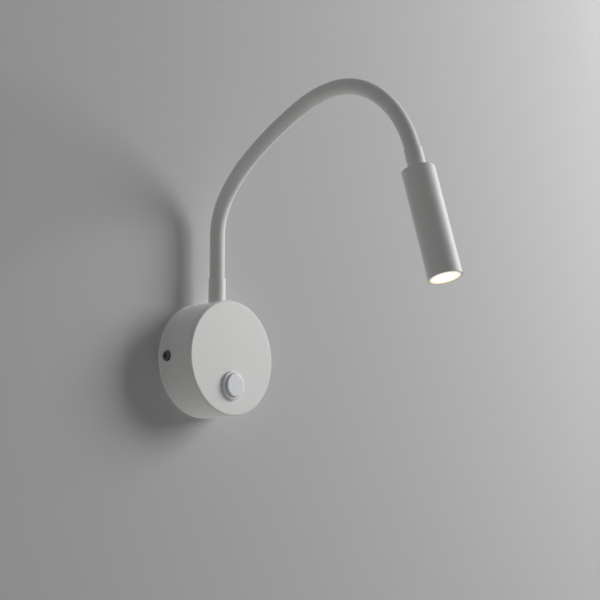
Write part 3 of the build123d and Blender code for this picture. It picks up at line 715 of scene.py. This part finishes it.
def return_spring():
    """Spring with closed ends, wound from its seat to its top."""
    seat, top, outside = SWITCH.measure("switch_spring")
    travel = next(joint["range_m"][1] for joint in frame["joints"] if joint["name"] == "button_press")
    grid = coil_grid(outside - SPRING_WIRE, SPRING_WIRE, SPRING_TURNS, seat, top, SWITCH)
    spring = piece("return_spring", grid, ZINC, ["switch_spring"], "base", closed=False)
    1 - travel / (top - seat)
    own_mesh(spring)


sleeve()
return_spring()
ferrule("lower_ferrule", NECK, "base", NECK_PAD)
ferrule("upper_ferrule", HEAD, "head", HEAD_TOP)
switch_ring()

# Stage: a pale wall that shows from its front, a pale floor and a pale surround
AMBIENT = 0.15
SURROUND = 0.82
STAGE_HALF = 40.0
FLOOR_HEIGHT = -1.0
FLOOR_PAINT = (0.72, 0.72, 0.71, 1.0)
FLOOR_BRIGHTNESS = 0.93
FLOOR_GLOW = 0.85
WALL_BEHIND = 0.0004
WALL_PAINT = (0.6, 0.6, 0.6, 1.0)
WALL_SHADE = 0.5
WALL_NEAR = 0.58
WALL_FAR = 1.0


def plane(name, corner, side, other, material):
    """Flat rectangle from a corner along two sides, facing their cross product."""
    corner, side, other = (np.array(value, float) for value in (corner, side, other))
    mesh = bpy.data.meshes.new(name)
    mesh.from_pydata([corner, corner + side, corner + side + other, corner + other], [], [(0, 1, 2, 3)])
    mesh.materials.append(material)
    made = bpy.data.objects.new(name, mesh)
    bpy.context.scene.collection.objects.link(made)


def rays(point, *kinds):
    """One for these kinds of ray, zero for others."""
    path = point.node("ShaderNodeLightPath").socket.node
    found = [Signal(point.tree, path.outputs[f"Is {kind} Ray"]) for kind in kinds]
    return sum(found[1:], found[0])


def pale_wall(point):
    """Pale matt paint that shows from its front and near the light alone.

    On its front it also stops a share of the diffuse and shadow rays. All other rays pass through it.
    """
    behind = point.node("ShaderNodeNewGeometry", output="Backfacing")
    distance = point.node("ShaderNodeVectorMath", {"operation": "LENGTH"}, {0: point}, output="Value")
    near = point.node(
        "ShaderNodeMapRange",
        {"interpolation_type": "SMOOTHSTEP"},
        {"Value": distance, "From Min": WALL_NEAR, "From Max": WALL_FAR, "To Min": 1.0, "To Max": 0.0},
    )
    paint = point.node("ShaderNodeBsdfDiffuse", inputs={"Color": WALL_PAINT})
    clear = point.node("ShaderNodeBsdfTransparent")
    share = (near * rays(point, "Camera") + WALL_SHADE * rays(point, "Diffuse", "Shadow")) * (1 - behind)
    return point.node("ShaderNodeMixShader", inputs={0: share, 1: clear, 2: paint})


def pale_floor(point):
    """Pale matt floor, about as bright as the surround where it is seen."""
    paint = point.node("ShaderNodeBsdfDiffuse", inputs={"Color": FLOOR_PAINT})
    bright = point.node("ShaderNodeEmission", inputs={"Strength": FLOOR_BRIGHTNESS})
    seen = FLOOR_GLOW * rays(point, "Camera", "Glossy", "Transmission")
    return point.node("ShaderNodeMixShader", inputs={0: seen, 1: paint, 2: bright})


plane(
    "wall",
    corner=(-STAGE_HALF, WALL_BEHIND, FLOOR_HEIGHT),
    side=(2 * STAGE_HALF, 0, 0),
    other=(0, 0, STAGE_HALF),
    material=finish("pale_wall", pale_wall),
)
plane(
    "floor",
    corner=(-STAGE_HALF, -STAGE_HALF, FLOOR_HEIGHT),
    side=(2 * STAGE_HALF, 0, 0),
    other=(0, 2 * STAGE_HALF, 0),
    material=finish("pale_floor", pale_floor),
)

# Light: a key lamp from the right, and one behind the wall for the back
MIDDLE = (cad_box[0] + cad_box[1]) / 2


def lamp(name, place, size, power, glossy):
    """Square area lamp that faces the middle of the object."""
    data = bpy.data.lights.new(name, "AREA")
    data.size = size
    data.energy = power
    made = bpy.data.objects.new(name, data)
    made.location = place
    made.rotation_euler = (MIDDLE - Vector(place)).to_track_quat("-Z", "Y").to_euler()
    made.visible_camera = False
    made.visible_glossy = glossy
    bpy.context.scene.collection.objects.link(made)


lamp("key", place=(1.25, -0.8, 0.55), size=0.8, power=18, glossy=True)
lamp("back", place=(1.05, 1.6, 0.9), size=1.2, power=40, glossy=False)

world = bpy.data.worlds.new("studio")
bpy.context.scene.world = world
world.use_nodes = True
world.node_tree.nodes.clear()
sky = Signal(world.node_tree)
strength = AMBIENT + (SURROUND - AMBIENT) * rays(sky, "Camera", "Glossy", "Transmission")
background = sky.node("ShaderNodeBackground", inputs={"Color": (1, 1, 1, 1), "Strength": strength})
sky.node("ShaderNodeOutputWorld", inputs={"Surface": background})

# Camera at the photograph's view, with its lens and sensor in millimetres
CAMERA_PLACE = (-0.7798, -0.7982, -0.1235)
CAMERA_YAW = math.radians(47.882)
CAMERA_PITCH = math.radians(8.522)
CAMERA_LENS = 96.0
CAMERA_SENSOR = 36.0
camera_data = bpy.data.cameras.new("camera")
camera_data.lens = CAMERA_LENS
camera_data.sensor_width = CAMERA_SENSOR
camera = bpy.data.objects.new("camera", camera_data)
camera.location = CAMERA_PLACE
camera.rotation_euler = (math.pi / 2 + CAMERA_PITCH, 0, -CAMERA_YAW)
bpy.context.scene.collection.objects.link(camera)
bpy.context.scene.camera = camera
bpy.context.scene.view_settings.view_transform = "Standard"
